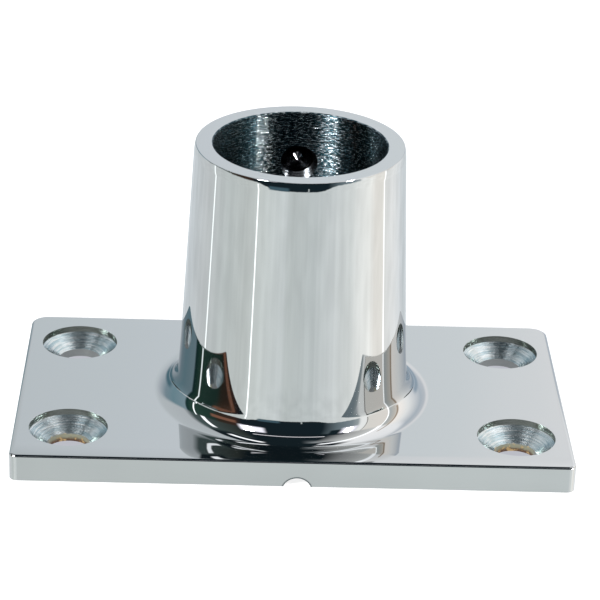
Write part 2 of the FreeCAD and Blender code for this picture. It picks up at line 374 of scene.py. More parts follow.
def low_light(g, turn, azimuth, elevation):
    """Light from below; the sheets under and beside the part have faint folds and clouds."""
    streaks = g.noise(g.join(g.times(azimuth, 0.14), 0.0, 0.0), 1.0, 3.0, 0.6)
    folds = g.smooth(streaks, 0.30, 0.70, 0.99, 1.08)
    place = g.join(g.times(azimuth, 0.09), g.times(elevation, 0.8), 2.0)
    clouds = g.noise(place, 1.0, 3.0, 0.55)
    level = g.times(folds, g.smooth(clouds, 0.32, 0.68, 0.95, 1.06))
    ring = g.ramp(turn, ring_stops(LOW_RING))
    return g.mix(1.0, ring, g.join(level, level, level), "MULTIPLY")


def upper_light(g, turn, azimuth, elevation):
    """Light from above; the middle ring reaches higher on the right than on the left."""
    middle = g.ramp(turn, ring_stops(MIDDLE_RING))
    high = g.ramp(turn, ring_stops(HIGH_RING))
    high = g.mix(g.smooth(elevation, 62.0, 84.0), high, colour(CEILING))
    reach = g.smooth(azimuth, -60.0, 60.0, 0.0, 12.0)
    return g.mix(g.smooth(g.minus(elevation, reach), 25.0, 31.0), middle, high)


def above_horizon(g, azimuth, elevation):
    """The room's ragged lower edge, which lies lower in front, where a table stands."""
    ragged = g.noise(g.join(g.times(azimuth, 0.22), 5.0, 0.0), 1.0, 4.0, 0.7)
    table = g.between(azimuth, -36.0, 30.0, 12.0)
    drop = g.plus(g.times(table, 11.0), g.times(ragged, 5.0))
    return g.smooth(g.plus(elevation, drop), -1.5, 1.0)


def with_cards(g, shade, azimuth, elevation):
    for left, right, bottom, top, soft, tint in CARDS.values():
        across = g.between(azimuth, left, right, soft)
        upright = g.between(elevation, bottom, top, soft)
        shade = g.mix(g.times(across, upright), shade, colour(tint))
    return shade


def with_dark_ceiling(g, shade, x, z, ahead):
    side = g.math("DEGREES", g.math("ARCSINE", x))
    over = g.math("DEGREES", g.math("ARCTAN2", z, ahead))
    for left, right, bottom, top in OVERHEAD:
        covered = g.times(g.between(side, left, right, 4.0), g.between(over, bottom, top, 2.0))
        shade = g.mix(covered, shade, colour(DARK_CEILING))
    return shade


def with_seams(g, shade, x, y, elevation):
    for azimuth, half_width, bottom, top in SEAMS:
        a = math.radians(azimuth)
        off = g.plus(g.times(x, math.cos(a)), g.times(y, math.sin(a)))
        near = g.smooth(g.math("ABSOLUTE", off), half_width * 0.6, half_width * 1.3, 1.0, 0.0)
        this_side = g.smooth(g.times(x, math.copysign(1.0, azimuth)), 0.0, 0.05)
        seam = g.times(g.times(near, this_side), g.between(elevation, bottom, top, 1.5))
        shade = g.mix(seam, shade, colour(SEAM))
    return shade


def set_up_world():
    """The part mirrors the studio; the camera itself sees a white backdrop."""
    world = bpy.data.worlds.new("studio")
    bpy.context.scene.world = world
    world.use_nodes = True
    g = Graph(world.node_tree)
    x, y, z = g.split(g.node("ShaderNodeTexCoord").outputs["Generated"])
    ahead = g.times(y, -1.0)
    azimuth = g.math("DEGREES", g.math("ARCTAN2", x, ahead))
    elevation = g.math("DEGREES", g.math("ARCSINE", z))
    turn = g.math("DIVIDE", g.plus(azimuth, 180.0), 360.0)
    low = low_light(g, turn, azimuth, elevation)
    upper = upper_light(g, turn, azimuth, elevation)
    shade = g.mix(above_horizon(g, azimuth, elevation), low, upper)
    shade = with_cards(g, shade, azimuth, elevation)
    shade = with_dark_ceiling(g, shade, x, z, ahead)
    shade = with_seams(g, shade, x, y, elevation)
    seen = g.node("ShaderNodeLightPath").outputs["Is Camera Ray"]
    background = g.node("ShaderNodeBackground")
    g.plug(g.mix(seen, shade, colour((1, 1, 1))), background.inputs["Color"])
    output = g.node("ShaderNodeOutputWorld")
    g.plug(background.outputs[0], output.inputs["Surface"])


def set_up_lamps():
    for number, (azimuth, elevation, wide, tall) in enumerate(LAMPS):
        away = direction(azimuth, elevation)
        data = bpy.data.lights.new(f"lamp_{number}", "AREA")
        data.shape = "RECTANGLE"
        data.size = 2 * LAMP_DISTANCE * math.tan(math.radians(wide / 2))
        data.size_y = 2 * LAMP_DISTANCE * math.tan(math.radians(tall / 2))
        # A lamp's radiance is its power over its area and pi
        data.energy = LAMP_GLOW * data.size * data.size_y * math.pi
        lamp = link(data.name, data)
        lamp.location = away * LAMP_DISTANCE + Vector((0, 0, LAMP_AIM))
        lamp.rotation_mode = "QUATERNION"
        lamp.rotation_quaternion = away.to_track_quat("Z", "Y")


def new_material(name):
    material = bpy.data.materials.new(name)
    material.use_nodes = True
    return material, Graph(material.node_tree)


def show(g, shader):
    """Make the shader the material's surface."""
    g.plug(shader.outputs[0], g.node("ShaderNodeOutputMaterial").inputs["Surface"])


def stage_mesh(name, corners, level, material):
    """A flat face of the stage, from its corners in metres."""
    mesh = bpy.data.meshes.new(name)
    mesh.from_pydata([(x, y, level) for x, y in corners], [], [tuple(range(len(corners)))])
    mesh.materials.append(material)
    made = link(name, mesh)
    return made


def set_up_floor():
    material, g = new_material("floor")
    diffuse = g.node("ShaderNodeBsdfDiffuse")
    diffuse.inputs["Color"].default_value = colour((0.45, 0.45, 0.45))
    glow = g.node("ShaderNodeEmission")
    glow.inputs["Strength"].default_value = 0.72
    both = g.node("ShaderNodeAddShader")
    g.plug(diffuse.outputs[0], both.inputs[0])
    g.plug(glow.outputs[0], both.inputs[1])
    show(g, both)
    half = FLOOR_HALF
    corners = [(-half, -half), (half, -half), (half, half), (-half, half)]
    floor = stage_mesh("floor", corners, FLOOR_LEVEL, material)
    floor.visible_glossy = False


def set_up_shaded_ground():
    """The ground under the bore gets no light, and only the bore's own walls see it."""
    material, g = new_material("shaded_ground")
    shader = g.node("ShaderNodeBsdfDiffuse")
    shader.inputs["Color"].default_value = colour((0.02, 0.02, 0.02))
    show(g, shader)
    corners = circle_points(0, 0, SHADED_REACH, 48)
    disc = stage_mesh("shaded_ground", corners, SHADE_LEVEL, material)
    disc.visible_camera = False
    disc.visible_shadow = False
    disc.visible_diffuse = False


def set_up_painted_hole_shade():
    """Painted shade: glowing grey patches stand for the ground seen through the screw holes,
    which lies in the plate's shade.
    """
    material, g = new_material("painted_hole_shade")
    glow = g.node("ShaderNodeEmission")
    glow.inputs["Color"].default_value = colour((0.50, 0.51, 0.56))
    show(g, glow)
    for number, (x, y) in enumerate(HOLES):
        corners = [(a * MM, b * MM) for a, b in circle_points(x, y, HOLE + 0.4, 32)]
        patch = stage_mesh(f"painted_hole_shade_{number}", corners, SHADE_LEVEL, material)
        patch.visible_shadow = False
        patch.visible_diffuse = False


class Skin:
    """Faces of a closed piece, in millimetres, with the true normal kept at every corner."""

    def __init__(self):
        self.points = []
        self.numbers = {}
        self.faces = []
        self.normals = []
        self.zones = []

    def number(self, p):
        key = (round(p[0], 3), round(p[1], 3), round(p[2], 3))
        if key not in self.numbers:
            self.numbers[key] = len(self.points)
            self.points.append(p)
        return self.numbers[key]

    def face(self, corners, zone):
        """Add a face; each corner is a point and its normal. It is turned to face its normals."""
        kept = []
        for p, n in corners:
            number = self.number(p)
            if number not in [k[0] for k in kept]:
                kept.append((number, p, n))
        if len(kept) < 3:
            return
        a, b, c = (Vector(kept[i][1]) for i in (0, 1, 2))
        way = (b - a).cross(c - a)
        if len(kept) == 4:
            way += (c - a).cross(Vector(kept[3][1]) - a)
        facing = sum((Vector(k[2]) for k in kept), Vector())
        if way.dot(facing) < 0:
            kept.reverse()
        self.faces.append([k[0] for k in kept])
        self.normals += [Vector(k[2]).normalized() for k in kept]
        self.zones.append(zone)

    def grid(self, rows, zone, skip=None):
        """Faces between neighbouring rows of corners; skip says which cells stay open."""
        for i in range(len(rows) - 1):
            for j in range(len(rows[i]) - 1):
                if skip and skip(i, j):
                    continue
                self.face([rows[i][j], rows[i][j + 1], rows[i + 1][j + 1], rows[i + 1][j]], zone)

    def patch(self, loops, inner, lift, zone):
        """Triangles over a flat region with holes; lift turns its 2-D points into corners."""
        flat = []
        edges = []
        for loop in loops:
            start = len(flat)
            flat += loop
            edges += [(start + i, start + (i + 1) % len(loop)) for i in range(len(loop))]
        flat += inner
        vectors = [Vector(p) for p in flat]
        made, _, triangles, sources, _, _ = delaunay_2d_cdt(vectors, edges, [], 0, 1e-7, True)
        for triangle in triangles:
            x = sum(made[i].x for i in triangle) / 3
            y = sum(made[i].y for i in triangle) / 3
            if sum(crossings(loop, x, y) for loop in loops) % 2 == 0:
                continue
            corners = []
            for i in triangle:
                exact = flat[sources[i][0]] if sources[i] else made[i]
                corners.append(lift(exact[0], exact[1]))
            self.face(corners, zone)

    def make(self, name, materials):
        mesh = bpy.data.meshes.new(name)
        mesh.from_pydata([Vector(p) * MM for p in self.points], [], self.faces)
        for material in materials:
            mesh.materials.append(material)
        mesh.polygons.foreach_set("material_index", self.zones)
        mesh.polygons.foreach_set("use_smooth", [True] * len(self.faces))
        mesh.update()
        mesh.normals_split_custom_set(self.normals)
        return link(name, mesh)


def crossings(loop, x, y):
    """How many edges of the loop a ray from the point towards +x crosses."""
    count = 0
    x0, y0 = loop[-1]
    for x1, y1 in loop:
        if (y0 > y) != (y1 > y) and x < x0 + (y - y0) * (x1 - x0) / (y1 - y0):
            count += 1
        x0, y0 = x1, y1
    return count


def flare(z):
    """Extra slope of the wall above the foot's sweep."""
    return FLARE_SLOPE * math.exp(min(0.0, PLATE + SWEEP_TALL - z) / FLARE_REACH)


def wall_radius(z):
    return FOOT - TAPER * (z - PLATE) + FLARE_REACH * flare(z)


def circle_points(x, y, radius, count):
    steps = (TURN * i / count for i in range(count))
    return [(x + radius * math.cos(a), y + radius * math.sin(a)) for a in steps]


def turned(profile, centre=(0.0, 0.0), count=SEGMENTS):
    """Rows of corners round an upright axis, from a profile of (r, z, normal r, normal z)."""
    rows = []
    for r, z, nr, nz in profile:
        row = []
        for i in range(count + 1):
            a = TURN * (i % count) / count
            c, s = math.cos(a), math.sin(a)
            row.append(((centre[0] + r * c, centre[1] + r * s, z), (nr * c, nr * s, nz)))
        rows.append(row)
    return rows


def mouth_roll():
    """The wall leans in slowly below the rim and ends in a small round edge."""
    steepest = TAPER + 2 * MOUTH_ROLL_WIDE / MOUTH_ROLL_TALL
    lean = math.atan(steepest)
    base = HEIGHT - MOUTH_EDGE * (1 - math.sin(lean)) - MOUTH_ROLL_TALL
    profile = []
    for i in range(21):
        s = i / 20
        z = base + MOUTH_ROLL_TALL * s
        slope = TAPER + 2 * MOUTH_ROLL_WIDE * s / MOUTH_ROLL_TALL
        profile.append((wall_radius(z) - MOUTH_ROLL_WIDE * s * s, z, 1.0, slope))
    r, z = profile[-1][:2]
    for i in range(1, 9):
        t = lean + (math.pi / 2 - lean) * i / 8
        out = MOUTH_EDGE * (math.cos(t) - math.cos(lean))
        up = MOUTH_EDGE * (math.sin(t) - math.sin(lean))
        profile.append((r + out, z + up, math.cos(t), math.sin(t)))
    return profile


def foot_sweep():
    """From the wall down into the plate, with the bend easing in and out."""
    top = PLATE + SWEEP_TALL
    profile = []
    steps = 40
    for i in range(steps + 1):
        t = math.pi / 2 * i / steps
        u = math.cos(t) ** (2 / SWEEP_POWER)
        v = math.sin(t) ** (2 / SWEEP_POWER) if t > 0 else 0.0
        r = wall_radius(top) + SWEEP_WIDE * (1 - u) + (TAPER + FLARE_SLOPE) * SWEEP_TALL * v
        out = u ** (SWEEP_POWER - 1) / SWEEP_WIDE
        up = v ** (SWEEP_POWER - 1) / SWEEP_TALL
        # The wall's slope leans the whole sweep outwards
        up += (TAPER + FLARE_SLOPE) * out
        profile.append((r, top - SWEEP_TALL * v, out, up))
    return profile


def outline(inset):
    """The plate's outline as (x, y, outward x, outward y), moved in by the inset."""
    corners = [
        (HALF_LENGTH - FRONT_CORNER, FRONT_CORNER - HALF_WIDTH, FRONT_CORNER, 270),
        (HALF_LENGTH - BACK_CORNER, HALF_WIDTH - BACK_CORNER, BACK_CORNER, 0),
        (BACK_CORNER - HALF_LENGTH, HALF_WIDTH - BACK_CORNER, BACK_CORNER, 90),
        (FRONT_CORNER - HALF_LENGTH, FRONT_CORNER - HALF_WIDTH, FRONT_CORNER, 180),
    ]
    steps = 8
    points = []
    for x, y, radius, start in corners:
        for i in range(steps + 1):
            a = math.radians(start + 90 * i / steps)
            reach = radius - inset
            c, s = math.cos(a), math.sin(a)
            points.append((x + reach * c, y + reach * s, c, s))
    return points


def buffed_tilt(x, y):
    """Slope of the plate's surface near its edges, as the light shows it."""
    tilt = [0.0, 0.0]
    for axis, place, half in ((0, x, HALF_LENGTH), (1, y, HALF_WIDTH)):
        depth = BUFFED_WIDTH - (half - abs(place))
        if depth > 0:
            slope = BUFFED_SLOPE * depth / BUFFED_WIDTH
            if axis == 0 or place > 0:
                slope *= BUFFED_SHARE
            tilt[axis] = math.copysign(slope, place)
    return tilt


def on_plate_top(x, y):
    tilt = buffed_tilt(x, y)
    return (x, y, PLATE), (tilt[0], tilt[1], 1.0)


def drain_points():
    """The groove's section from its left foot over its top to its right foot, as (x, z)."""
    half = math.acos(-DRAIN_CENTRE / DRAIN_RADIUS)
    steps = 24
    points = []
    for i in range(steps + 1):
        a = math.pi / 2 + half - 2 * half * i / steps
        x = DRAIN_X + DRAIN_RADIUS * math.cos(a)
        points.append((x, DRAIN_CENTRE + DRAIN_RADIUS * math.sin(a)))
    points[0] = (points[0][0], 0.0)
    points[-1] = (points[-1][0], 0.0)
    return points


def thread_depth(y, turn):
    """How deep the thread is cut at a place along the screw's axis and an angle round it."""
    # Straight flanks between a narrow crest and a narrow root
    phase = (y / PITCH + turn + 0.5) % 1.0
    ridge = 1 - abs(2 * phase - 1)
    return THREAD_DEPTH * min(1.0, max(0.0, ridge * 1.35 - 0.175))


def thread_slope(y, turn):
    """How fast the thread gets deeper along the screw's axis."""
    return (thread_depth(y + 0.02, turn) - thread_depth(y - 0.02, turn)) / 0.04


def on_bore(u, z):
    """The bore's corner at a distance round it and a height."""
    a = u / BORE
    c, s = math.cos(a), math.sin(a)
    return (BORE * c, BORE * s, z), (-c, -s, 0)


def on_wall(u, z):
    """The wall's corner at a distance round it, as measured at the foot, and a height."""
    a = u / FOOT
    c, s = math.cos(a), math.sin(a)
    r = wall_radius(z)
    return (r * c, r * s, z), (c, s, TAPER)


def bore_depth(x):
    """Distance of the bore's surface from the XZ plane at this x."""
    return math.sqrt(BORE ** 2 - x ** 2)


def bore_turn(x):
    """Distance round the bore to its front point with this x."""
    return BORE * (TURN + math.atan2(-bore_depth(x), x))


def in_window(column, centre):
    return centre - HALF_WINDOW <= column < centre + HALF_WINDOW


def window(radius, centre, bottom, top):
    """A window's outline, as distance round the surface and height: its bottom, then its top."""
    columns = range(centre - HALF_WINDOW, centre + HALF_WINDOW + 1)
    across = [radius * TURN * j / SEGMENTS for j in columns]
    return [(u, bottom) for u in across] + [(u, top) for u in reversed(across)]


def window_points(radius):
    """Points round the tapped hole that keep its window as round as the wall."""
    points = []
    for j in range(1 - HALF_WINDOW, HALF_WINDOW):
        across = radius * TURN * (BACK_COLUMN + j) / SEGMENTS
        for k in range(1, 20):
            z = WINDOW_LOW + (WINDOW_HIGH - WINDOW_LOW) * k / 20
            if math.hypot(BORE * TURN * j / SEGMENTS, z - SCREW_HEIGHT) > TAPPED + POINT_GAP:
                points.append((across, z))
    return points


def add_wall(skin):
    """Rim, rolled mouth, wall and foot; the window round the tapped hole stays open."""
    roll = mouth_roll()
    flat = [(BORE + BORE_EDGE, HEIGHT, 0, 1), (roll[-1][0], HEIGHT, 0, 1)]
    skin.grid(turned(flat), POLISHED)
    skin.grid(turned(roll), POLISHED)
    # Rows crowd together towards the foot, where the wall flares
    heights = [roll[0][1], WINDOW_HIGH, WINDOW_LOW, 24.0]
    heights += [PLATE + SWEEP_TALL + (24 - i) ** 2 / 36 for i in range(1, 25)]
    wall = turned([(wall_radius(z), z, 1.0, TAPER + flare(z)) for z in heights])
    skin.grid(wall, POLISHED, lambda i, j: i == 1 and in_window(j, BACK_COLUMN))
    skin.grid(turned(foot_sweep()), POLISHED)


def add_bore(skin):
    """Bore with its broken edge; the windows round the tapped hole and the drain stay open."""
    edge = [(BORE + BORE_EDGE, HEIGHT, -0.2, 1), (BORE, HEIGHT - BORE_EDGE, -0.5, 1)]
    skin.grid(turned(edge), BORED)
    open_columns = {1: BACK_COLUMN, 3: FRONT_COLUMN}
    levels = [HEIGHT - BORE_EDGE, WINDOW_HIGH, WINDOW_LOW, DRAIN_WINDOW_TOP, 0.0]
    bore = turned([(BORE, z, -1, 0) for z in levels])
    skin.grid(bore, BORED, lambda i, j: i in open_columns and in_window(j, open_columns[i]))


def tapped_hole_rims():
    """The rings of points where the tapped hole meets the bore and the wall."""
    bore_rim = []
    wall_rim = []
    for i in range(TAPPED_SEGMENTS):
        s = TURN * i / TAPPED_SEGMENTS
        x = TAPPED * math.cos(s)
        z = SCREW_HEIGHT + TAPPED * math.sin(s)
        wall_rim.append((x, math.sqrt(wall_radius(z) ** 2 - x ** 2), z))
        # The thread runs right out of the hole into the bore
        r = TAPPED
        for _ in range(3):
            r = TAPPED - thread_depth(bore_depth(r * math.cos(s)), s / TURN)
        y = bore_depth(r * math.cos(s))
        bore_rim.append((r * math.cos(s), y, SCREW_HEIGHT + r * math.sin(s)))
    return bore_rim, wall_rim


def add_tapped_hole(skin):
    """Bore and wall round the tapped hole, and its thread, which dies out at the wall."""
    bore_rim, wall_rim = tapped_hole_rims()
    sides = [(BORE, bore_rim, on_bore, BORED), (FOOT, wall_rim, on_wall, POLISHED)]
    for radius, rim, lift, zone in sides:
        loop = [(radius * math.atan2(y, x), z) for x, y, z in rim]
        box = window(radius, BACK_COLUMN, WINDOW_LOW, WINDOW_HIGH)
        skin.patch([box, loop], window_points(radius), lift, zone)
    rows = []
    steps = 60
    around = [i % TAPPED_SEGMENTS for i in range(TAPPED_SEGMENTS + 1)]
    for k in range(steps + 1):
        row = []
        for i in around:
            s = TURN * i / TAPPED_SEGMENTS
            c, d = math.cos(s), math.sin(s)
            y_in = bore_rim[i][1]
            y_out = wall_rim[i][1]
            y = y_in + (y_out - y_in) * k / steps
            ease = min(1.0, 2.0 * (y_out - y))
            r = TAPPED - thread_depth(y, s / TURN) * max(0.0, ease)
            rise = thread_slope(y, s / TURN) if ease >= 0.5 else 0.0
            row.append(((r * c, y, SCREW_HEIGHT + r * d), (-c, -rise, -d)))
        rows.append(row)
    rows[0] = [(bore_rim[i], corner[1]) for i, corner in zip(around, rows[0])]
    rows[-1] = [(wall_rim[i], corner[1]) for i, corner in zip(around, rows[-1])]
    skin.grid(rows, THREADED)


def add_drain(skin, section):
    """The bore round the drain's mouth, and the groove from there to the front face."""
    box = window(BORE, FRONT_COLUMN, 0.0, DRAIN_WINDOW_TOP)
    bottom, top = box[:len(box) // 2], box[len(box) // 2:]
    left, right = bore_turn(section[0][0]), bore_turn(section[-1][0])
    loop = [p for p in bottom if p[0] < left]
    loop += [(bore_turn(x), z) for x, z in section]
    loop += [p for p in bottom if p[0] > right] + top
    skin.patch([loop], [], on_bore, BORED)
    normals = [(DRAIN_X - x, 0, DRAIN_CENTRE - z) for x, z in section]
    near = [((x, -HALF_WIDTH, z), n) for (x, z), n in zip(section, normals)]
    far = [((x, -bore_depth(x), z), n) for (x, z), n in zip(section, normals)]
    skin.grid([near, far], UNDERSIDE)


def add_plate_edge(skin, section):
    """The plate's rolled top edge, its sides and its front face with the drain in it."""
    rolled = []
    steps = 12
    for i in range(steps + 1):
        t = math.pi / 2 * i / steps
        side = math.sin(t) / EDGE_ROLL_WIDE
        up = math.cos(t) / EDGE_ROLL_TALL
        z = PLATE - EDGE_ROLL_TALL * (1 - math.cos(t))
        row = []
        for x, y, out_x, out_y in outline(EDGE_ROLL_WIDE * (1 - math.sin(t))):
            if i == 0:
                row.append(on_plate_top(x, y))
            else:
                tilt = buffed_tilt(x, y)
                n = (side * out_x + up * tilt[0], side * out_y + up * tilt[1], up)
                row.append(((x, y, z), n))
        rolled.append(row + row[:1])
    skin.grid(rolled, POLISHED)
    foot = [((x, y, 0.0), (out_x, out_y, 0.0)) for x, y, out_x, out_y in outline(0.0)]
    foot.append(foot[0])
    side_top = [(p, (n[0], n[1], 0.0)) for p, n in rolled[-1]]
    skin.grid([side_top, foot], POLISHED, lambda i, j: j == len(foot) - 2)
    # The front face lies between the last outline point and the first
    right, left = foot[0][0][0], foot[-2][0][0]
    top = PLATE - EDGE_ROLL_TALL
    loop = [(right, 0.0), (right, top), (left, top), (left, 0.0)] + section
    skin.patch([loop], [], lambda x, z: ((x, -HALF_WIDTH, z), (0, -1, 0)), POLISHED)


def plate_points(foot_end):
    """Points inside the plate's top face, close together where the buffing turns it down."""
    points = []
    depths = [EDGE_ROLL_WIDE + 0.35 * i for i in range(1, 8)] + [BUFFED_WIDTH + 0.05]
    for depth in depths:
        y = HALF_WIDTH - depth
        x = HALF_LENGTH - depth
        columns = int(2 * x)
        for i in range(columns + 1):
            place = -x + 2 * x * i / columns
            points += [(place, -y), (place, y)]
        rows = int(2 * y)
        for i in range(1, rows):
            place = -y + 2 * y * i / rows
            points += [(-x, place), (x, place)]
    kept = []
    for x, y in points:
        near_hole = any(math.hypot(x - a, y - b) < SINK + POINT_GAP for a, b in HOLES)
        if not near_hole and math.hypot(x, y) > foot_end + 0.2:
            kept.append((x, y))
    return kept


def add_plate_top(skin):
    """The flat between the foot's sweep, the countersinks and the rolled edge."""
    foot_end = foot_sweep()[-1][0]
    loops = [[(x, y) for x, y, _, _ in outline(EDGE_ROLL_WIDE)]]
    loops.append(circle_points(0, 0, foot_end, SEGMENTS))
    loops += [circle_points(x, y, SINK, HOLE_SEGMENTS) for x, y in HOLES]
    skin.patch(loops, plate_points(foot_end), on_plate_top, POLISHED)


def add_screw_holes(skin):
    """Straight land, cone and through hole of each countersunk hole."""
    land = PLATE - SINK_LAND
    slope = SINK - HOLE
    drop = land - SINK_BOTTOM
    for centre in HOLES:
        for profile in (
            [(SINK, PLATE, -1, 0), (SINK, land, -1, 0)],
            [(SINK, land, -drop, slope), (HOLE, SINK_BOTTOM, -drop, slope)],
            [(HOLE, SINK_BOTTOM, -1, 0), (HOLE, 0.0, -1, 0)],
        ):
            skin.grid(turned(profile, centre, HOLE_SEGMENTS), SUNK)


def add_underside(skin, section):
    """Its outline runs in along the groove, round the bore and out again."""
    left, right = section[0][0], section[-1][0]
    start = FRONT_COLUMN + 1
    around = circle_points(0, 0, BORE, SEGMENTS)
    ring = around[start:] + around[:start]
    ring = [p for p in ring if not (p[1] < 0 and left <= p[0] <= right)]
    loop = [(x, y) for x, y, _, _ in outline(0.0)]
    loop += [(left, -HALF_WIDTH), (left, -bore_depth(left))]
    loop += list(reversed(ring))
    loop += [(right, -bore_depth(right)), (right, -HALF_WIDTH)]
    throughs = [circle_points(x, y, HOLE, HOLE_SEGMENTS) for x, y in HOLES]
    skin.patch([loop] + throughs, [], lambda x, y: ((x, y, 0.0), (0, 0, -1)), UNDERSIDE)


def build_flange(materials):
    skin = Skin()
    section = drain_points()
    add_wall(skin)
    add_bore(skin)
    add_tapped_hole(skin)
    add_drain(skin, section)
    add_plate_edge(skin, section)
    add_plate_top(skin)
    add_screw_holes(skin)
    add_underside(skin, section)
    return skin.make("flange_skin", materials)


def screw_ring(y):
    """A ring of the screw: its thread where that is lower than the point and the chamfer."""
    cone = (y - SCREW_START) * POINT_SLOPE
    chamfer = SCREW_RADIUS - SCREW_CHAMFER + (SCREW_END - y)
    fade = max(0.0, min(1.0, (SCREW_END - y) / THREAD_FADE))
    row = []
    for i in range(SCREW_SEGMENTS + 1):
        s = TURN * (i % SCREW_SEGMENTS) / SCREW_SEGMENTS
        c, d = math.cos(s), math.sin(s)
        thread = SCREW_RADIUS - thread_depth(y, s / TURN) * fade
        cut = (thread, thread_slope(y, s / TURN))
        radius, along = min(cut, (cone, -POINT_SLOPE), (chamfer, 1.0))
        row.append(((radius * c, y, SCREW_HEIGHT + radius * d), (c, along, d)))
    return row


def key_hexagon():
    """Outline of the key recess, four steps to a side."""
    points = []
    for i in range(6):
        a0, a1 = TURN * i / 6, TURN * (i + 1) / 6
        for k in range(4):
            f = k / 4
            x = KEY_CORNER * ((1 - f) * math.cos(a0) + f * math.cos(a1))
            z = KEY_CORNER * ((1 - f) * math.sin(a0) + f * math.sin(a1))
            points.append((x, z))
    return points


def build_set_screw(material):
    """Set screw with its thread; its axis runs along +Y from the cone point outwards."""
    skin = Skin()
    # Point, thread and chamfer in one run, so that the thread dies out on the cone
    steps = 160
    rows = [screw_ring(SCREW_START + SCREW_LENGTH * k / steps) for k in range(steps + 1)]
    skin.grid(rows, 0)
    # Outer end with the key recess
    outer = [(p[0], p[2] - SCREW_HEIGHT) for p, _ in rows[-1][:-1]]
    hexagon = key_hexagon()

    def on_end(x, z):
        return (x, SCREW_END, SCREW_HEIGHT + z), (0, 1, 0)

    skin.patch([outer, hexagon], [], on_end, 0)
    bottom = SCREW_END - KEY_DEPTH
    tip = ((0.0, bottom - KEY_DIMPLE, SCREW_HEIGHT), (0, 1, 0))
    for i, (x0, z0) in enumerate(hexagon):
        x1, z1 = hexagon[(i + 1) % len(hexagon)]
        z0, z1 = SCREW_HEIGHT + z0, SCREW_HEIGHT + z1
        a = TURN * (i // 4 + 0.5) / 6
        n = (-math.cos(a), 0, -math.sin(a))
        corners = [(x0, SCREW_END, z0), (x1, SCREW_END, z1), (x1, bottom, z1), (x0, bottom, z0)]
        skin.face([(p, n) for p in corners], 0)
        lean = (-0.25 * math.cos(a), 1.0, -0.25 * math.sin(a))
        skin.face([((x0, bottom, z0), lean), ((x1, bottom, z1), lean), tip], 0)
    return skin.make("set_screw_skin", [material])


def steel(name, tint=None, roughness=None):
    """A metal to start from: its graph, its shader and the place on the piece in millimetres."""
    material, g = new_material(name)
    shader = g.node("ShaderNodeBsdfPrincipled")
    shader.inputs["Metallic"].default_value = 1.0
    if tint:
        shader.inputs["Base Color"].default_value = colour(tint)
    if roughness:
        shader.inputs["Roughness"].default_value = roughness
    show(g, shader)
    scaled = g.node("ShaderNodeVectorMath", operation="SCALE")
    g.plug(g.node("ShaderNodeTexCoord").outputs["Object"], scaled.inputs[0])
    scaled.inputs["Scale"].default_value = 1 / MM
    return material, g, shader, scaled.outputs[0]


def polished_steel():
    material, g, shader, place = steel("polished_steel", roughness=0.03)
    # Slow waves that a polishing wheel leaves
    waves = g.noise(place, 0.11, 1.0)
    g.plug(g.bump(waves, 0.5, 0.02 * MM), shader.inputs["Normal"])
    # Painted shade: a thin dark ring round the drain groove's mouth in the front face stands in
    # for the dark that its broken edge would reflect
    x, y, z = g.split(place)
    dx = g.minus(x, DRAIN_X)
    dz = g.minus(z, DRAIN_CENTRE)
    reach = g.math("SQRT", g.plus(g.times(dx, dx), g.times(dz, dz)))
    rim = g.smooth(reach, DRAIN_RADIUS + 0.10, DRAIN_RADIUS + 0.28, 1.0, 0.0)
    rim = g.times(rim, g.smooth(y, 0.2 - HALF_WIDTH, 0.4 - HALF_WIDTH, 1.0, 0.0))
    painted_drain_shade = g.mix(rim, colour((0.57, 0.585, 0.59)), colour((0.16, 0.18, 0.19)))
    g.plug(painted_drain_shade, shader.inputs["Base Color"])
    return material


def bored_steel():
    """Turned bore: its grooves throw light up and down, and hardly to the sides."""
    material, g, shader, place = steel("bored_steel", roughness=0.25)
    shader.inputs["Anisotropic"].default_value = 1.0
    shader.inputs["Anisotropic Rotation"].default_value = 0.25
    tangent = g.node("ShaderNodeTangent", direction_type="RADIAL", axis="Z")
    g.plug(tangent.outputs[0], shader.inputs["Tangent"])
    x, y, z = g.split(place)
    around = g.times(g.math("ARCTAN2", x, y), BORE)
    wander = g.noise(g.join(g.times(around, 0.2), g.times(z, 0.3), 1.0), 1.0, 1.0)
    level = g.plus(z, g.times(wander, 0.25))
    grooves = g.join(g.times(around, 0.08), g.times(level, 5.0), 0.0)
    grooves = g.noise(grooves, 1.0, 2.0, 0.6)
    torn = g.join(g.times(around, 1.5), g.times(level, 4.8), 4.0)
    torn = g.noise(torn, 1.0, 2.0, 0.6)
    # The tool has torn the surface more on the +X side
    tearing = g.smooth(x, -4.0, 4.0, 0.01, 0.16)
    height = g.plus(grooves, g.times(torn, tearing))
    g.plug(g.bump(height, 1.0, 0.10 * MM), shader.inputs["Normal"])
    # Painted light and shade: torn flecks stand out pale on a near-black ground that paints the
    # deep bore's shade; the colour is painted lightest across the back, darker towards -X and
    # dimmer towards +X, to set how the lamps' streaks look
    painted_streak_light = g.mix(g.smooth(x, -6.8, -5.5), colour((0.24, 0.30, 0.32)), colour((0.95, 1.0, 1.0)))
    painted_streak_light = g.mix(g.smooth(x, 1.0, 3.0), painted_streak_light, colour((0.50, 0.56, 0.59)))
    tint = g.mix(g.smooth(torn, 0.47, 0.62), colour((0.022, 0.06, 0.075)), painted_streak_light)
    g.plug(tint, shader.inputs["Base Color"])
    return material


def hole_place(g, x, y):
    """Distance from the nearest screw hole's axis, and the direction away from it."""
    away_x = g.minus(x, g.times(g.math("SIGN", x), HOLE_X))
    away_y = g.minus(y, g.times(g.math("SIGN", y), HOLE_Y))
    reach = g.math("SQRT", g.plus(g.times(away_x, away_x), g.times(away_y, away_y)))
    return reach, g.math("DIVIDE", away_x, reach), g.math("DIVIDE", away_y, reach)


